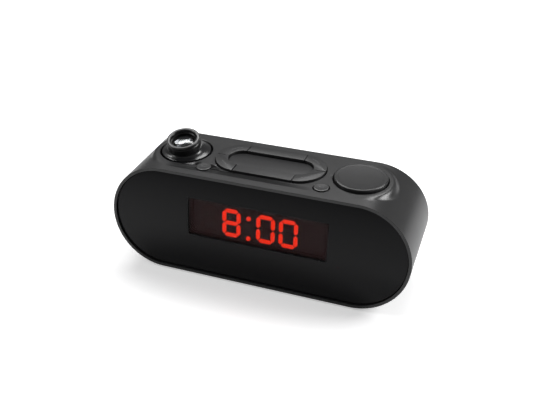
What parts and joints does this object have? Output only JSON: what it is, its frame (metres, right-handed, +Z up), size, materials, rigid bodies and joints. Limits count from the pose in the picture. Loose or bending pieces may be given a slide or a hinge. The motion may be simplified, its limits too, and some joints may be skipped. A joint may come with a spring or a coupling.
{
  "type": "projection alarm clock",
  "caption": "Table alarm clock with a long stadium-shaped body, red digits behind a dark leaning face, top keys, a dial and a swivelling projector with a focus ring.",
  "frame": {"origin": "on the table, under the middle of the housing", "axes": "+Z up, -Y out of the display face, +X to the right as seen from the front"},
  "size_m": [0.208, 0.064, 0.0889],
  "materials": {
    "housing_plastic": "fine satin",
    "key_plastic": "fine satin",
    "smoked_lens": "polished",
    "red_filter": "polished",
    "inner_plastic": "plain",
    "board": "solder mask",
    "lit_red": "glowing",
    "unlit_grey": "unlit",
    "gloss_black": "gloss",
    "clear_lens": "polished",
    "steel": "nickel plated",
    "rubber": "matt",
    "paper": "pressed paper"
  },
  "bodies": {
    "clock": {"main_housing": "housing_plastic", "front_lens": "smoked_lens", "red_filter": "red_filter", "display_bracket": "inner_plastic", "display_module": "inner_plastic", "display_board": "board", "lit_segments": "lit_red", "unlit_segments": "unlit_grey", "key_guide": "inner_plastic", "key_board": "board", "key_switches": "inner_plastic", "encoder": "inner_plastic", "encoder_board": "board", "rear_cover": "housing_plastic", "battery_tray": "inner_plastic", "coin_cell": "steel", "speaker_frame": "inner_plastic", "speaker_magnet": "steel", "speaker_cone": "paper", "power_socket": "inner_plastic", "aerial_grommet": "rubber", "main_board": "board", "main_chip": "inner_plastic", "capacitors": "inner_plastic", "cover_screws": "steel", "board_screws": "steel", "foot_1": "rubber", "foot_2": "rubber", "foot_3": "rubber", "foot_4": "rubber"},
    "projector": {"turret": "gloss_black", "turret_retainer": "gloss_black", "lamp_board": "board", "picture_slide": "unlit_grey"},
    "focus": {"focus_ring": "gloss_black"},
    "objective": {"lens_cell": "inner_plastic", "projection_lens": "clear_lens"},
    "dial": {"dial": "key_plastic", "encoder_shaft": "steel"},
    "door": {"battery_door": "housing_plastic"},
    "snooze": {"snooze_bar": "key_plastic", "snooze_plunger_1": "inner_plastic", "snooze_plunger_2": "inner_plastic"},
    "left_round": {"left_round_button": "key_plastic", "left_round_plunger": "inner_plastic"},
    "right_round": {"right_round_button": "key_plastic", "right_round_plunger": "inner_plastic"},
    "rear_left_press": {"rear_left_key": "key_plastic", "rear_left_plunger": "inner_plastic"},
    "front_left_press": {"front_left_key": "key_plastic", "front_left_plunger": "inner_plastic"},
    "rear_right_press": {"rear_right_key": "key_plastic", "rear_right_plunger": "inner_plastic"},
    "front_right_press": {"front_right_key": "key_plastic", "front_right_plunger": "inner_plastic"},
    "rear_press": {"rear_key": "key_plastic", "rear_plunger": "inner_plastic"}
  },
  "joints": [
    {"name": "projector_swivel", "type": "hinge", "parent": "clock", "child": "projector", "pos_m": [-0.0615, 0.006, 0.0755], "axis": [0, 0, 1], "range_deg": [-90, 90]},
    {"name": "focus_turn", "type": "hinge", "parent": "projector", "child": "focus", "pos_m": [-0.0615, 0.006, 0.0695], "axis": [0, -0.225, 0.9744], "range_deg": [-60, 60]},
    {"name": "objective_slide", "type": "slide", "parent": "projector", "child": "objective", "axis": [0, -0.225, 0.9744], "range_m": [-0.0008, 0.0008]},
    {"name": "dial_turn", "type": "hinge", "parent": "clock", "child": "dial", "pos_m": [0.0615, 0.006, 0.0755], "axis": [0, 0, 1], "continuous": true},
    {"name": "door_open", "type": "hinge", "parent": "clock", "child": "door", "pos_m": [0.046, 0.0303, 0.0268], "axis": [-1, 0, 0], "range_deg": [0, 90]},
    {"name": "snooze_press", "type": "slide", "parent": "clock", "child": "snooze", "axis": [0, 0, -1], "range_m": [0, 0.0008], "stiffness_N_per_m": 600},
    {"name": "left_round_press", "type": "slide", "parent": "clock", "child": "left_round", "axis": [0, 0, -1], "range_m": [0, 0.0008], "stiffness_N_per_m": 300},
    {"name": "right_round_press", "type": "slide", "parent": "clock", "child": "right_round", "axis": [0, 0, -1], "range_m": [0, 0.0008], "stiffness_N_per_m": 300},
    {"name": "rear_left_press", "type": "slide", "parent": "clock", "child": "rear_left_press", "axis": [0, 0, -1], "range_m": [0, 0.0008], "stiffness_N_per_m": 300},
    {"name": "front_left_press", "type": "slide", "parent": "clock", "child": "front_left_press", "axis": [0, 0, -1], "range_m": [0, 0.0008], "stiffness_N_per_m": 300},
    {"name": "rear_right_press", "type": "slide", "parent": "clock", "child": "rear_right_press", "axis": [0, 0, -1], "range_m": [0, 0.0008], "stiffness_N_per_m": 300},
    {"name": "front_right_press", "type": "slide", "parent": "clock", "child": "front_right_press", "axis": [0, 0, -1], "range_m": [0, 0.0008], "stiffness_N_per_m": 300},
    {"name": "rear_press", "type": "slide", "parent": "clock", "child": "rear_press", "axis": [0, 0, -1], "range_m": [0, 0.0008], "stiffness_N_per_m": 300}
  ],
  "couplings": [
    {"joint": "objective_slide", "follows": "focus_turn", "m_per_rad": 0.00076394}
  ]
}
